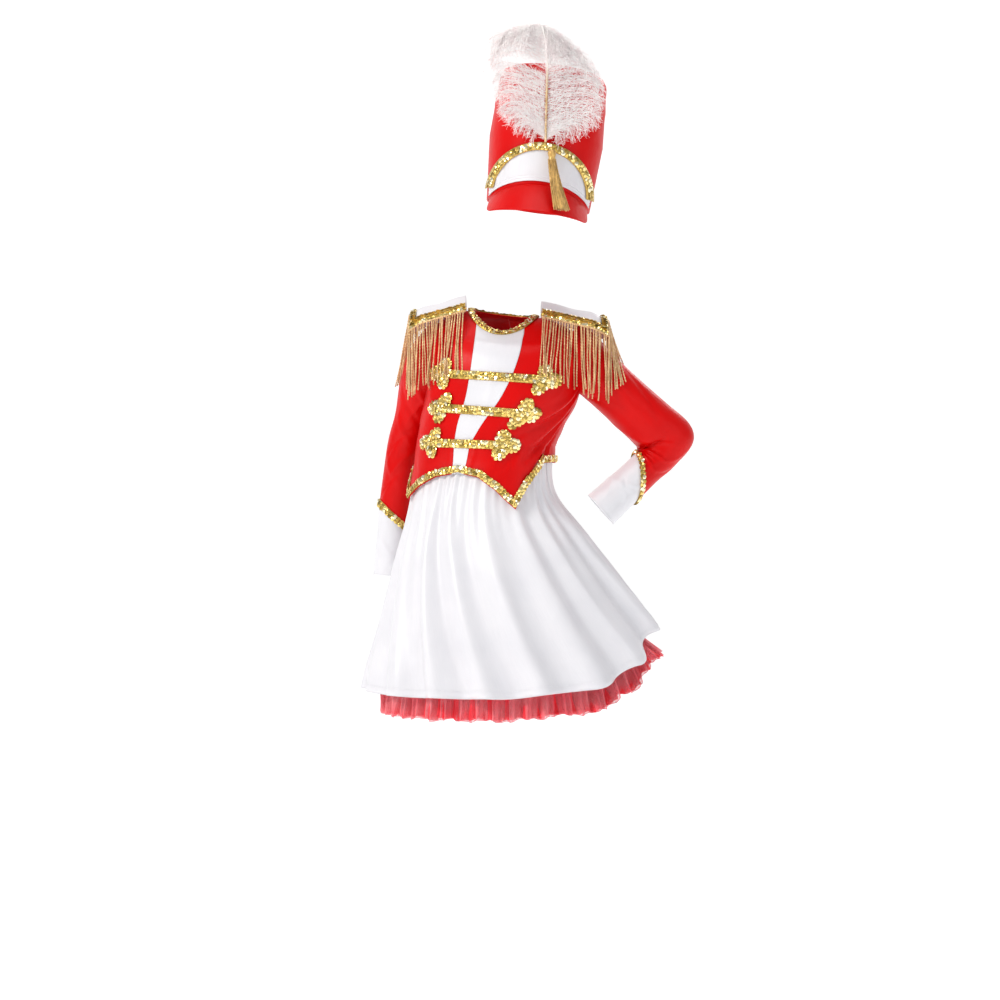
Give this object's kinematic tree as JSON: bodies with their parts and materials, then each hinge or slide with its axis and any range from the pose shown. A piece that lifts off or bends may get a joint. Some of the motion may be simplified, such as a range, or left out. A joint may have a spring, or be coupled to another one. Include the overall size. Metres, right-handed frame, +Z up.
{
  "type": "majorette costume",
  "caption": "Marching majorette costume worn in a pose: long-sleeved bodice with braid and fringed shoulder boards, flared gathered skirt over a ruffle, and a tall visored hat with a plume.",
  "frame": {"origin": "centre of the neck opening, where the dress hangs from the neck and shoulders of its wearer", "axes": "+Z up, -Y towards the front of the picture, +X towards the side of the bent left arm"},
  "size_m": [0.518, 0.3813, 1.041],
  "materials": {
    "red_satin": "satin sheen",
    "white_satin": "satin sheen",
    "gold_sequin": "metallised sequins",
    "gold_fringe": "twisted rayon, lustrous",
    "red_tulle": "stiff sheer net",
    "hat_red": "satin over a stiff shell",
    "feather": "soft ostrich barbs",
    "quill": "smooth, tan"
  },
  "bodies": {
    "root": {"bodice_back_right": "red_satin", "bodice_front_right": "red_satin", "bodice_front_center": "white_satin", "bodice_front_left": "red_satin", "bodice_back_left": "red_satin", "sleeve_right": "red_satin", "sleeve_left": "red_satin", "cuff_right": "white_satin", "cuff_left": "white_satin", "cuff_trim_right": "gold_sequin", "cuff_trim_left": "gold_sequin", "neck_trim": "gold_sequin", "bodice_hem_trim": "gold_sequin", "frog_braid_1": "gold_sequin", "frog_braid_2": "gold_sequin", "frog_braid_3": "gold_sequin", "frog_end_1_right": "gold_sequin", "frog_end_1_left": "gold_sequin", "frog_end_2_right": "gold_sequin", "frog_end_2_left": "gold_sequin", "frog_end_3_right": "gold_sequin", "frog_end_3_left": "gold_sequin", "skirt_front": "white_satin", "skirt_back": "white_satin", "petticoat_front": "red_tulle", "petticoat_back": "red_tulle", "epaulette_right": "white_satin", "epaulette_left": "white_satin", "epaulette_trim_right": "gold_sequin", "epaulette_trim_left": "gold_sequin", "fringe_right": "gold_fringe", "fringe_left": "gold_fringe", "hat_crown": "hat_red", "hat_top": "hat_red", "hat_band": "white_satin", "hat_braid": "gold_sequin", "hat_visor": "hat_red", "hat_tassel": "gold_fringe", "plume_vane": "feather", "plume_quill": "quill"}
  },
  "joints": []
}
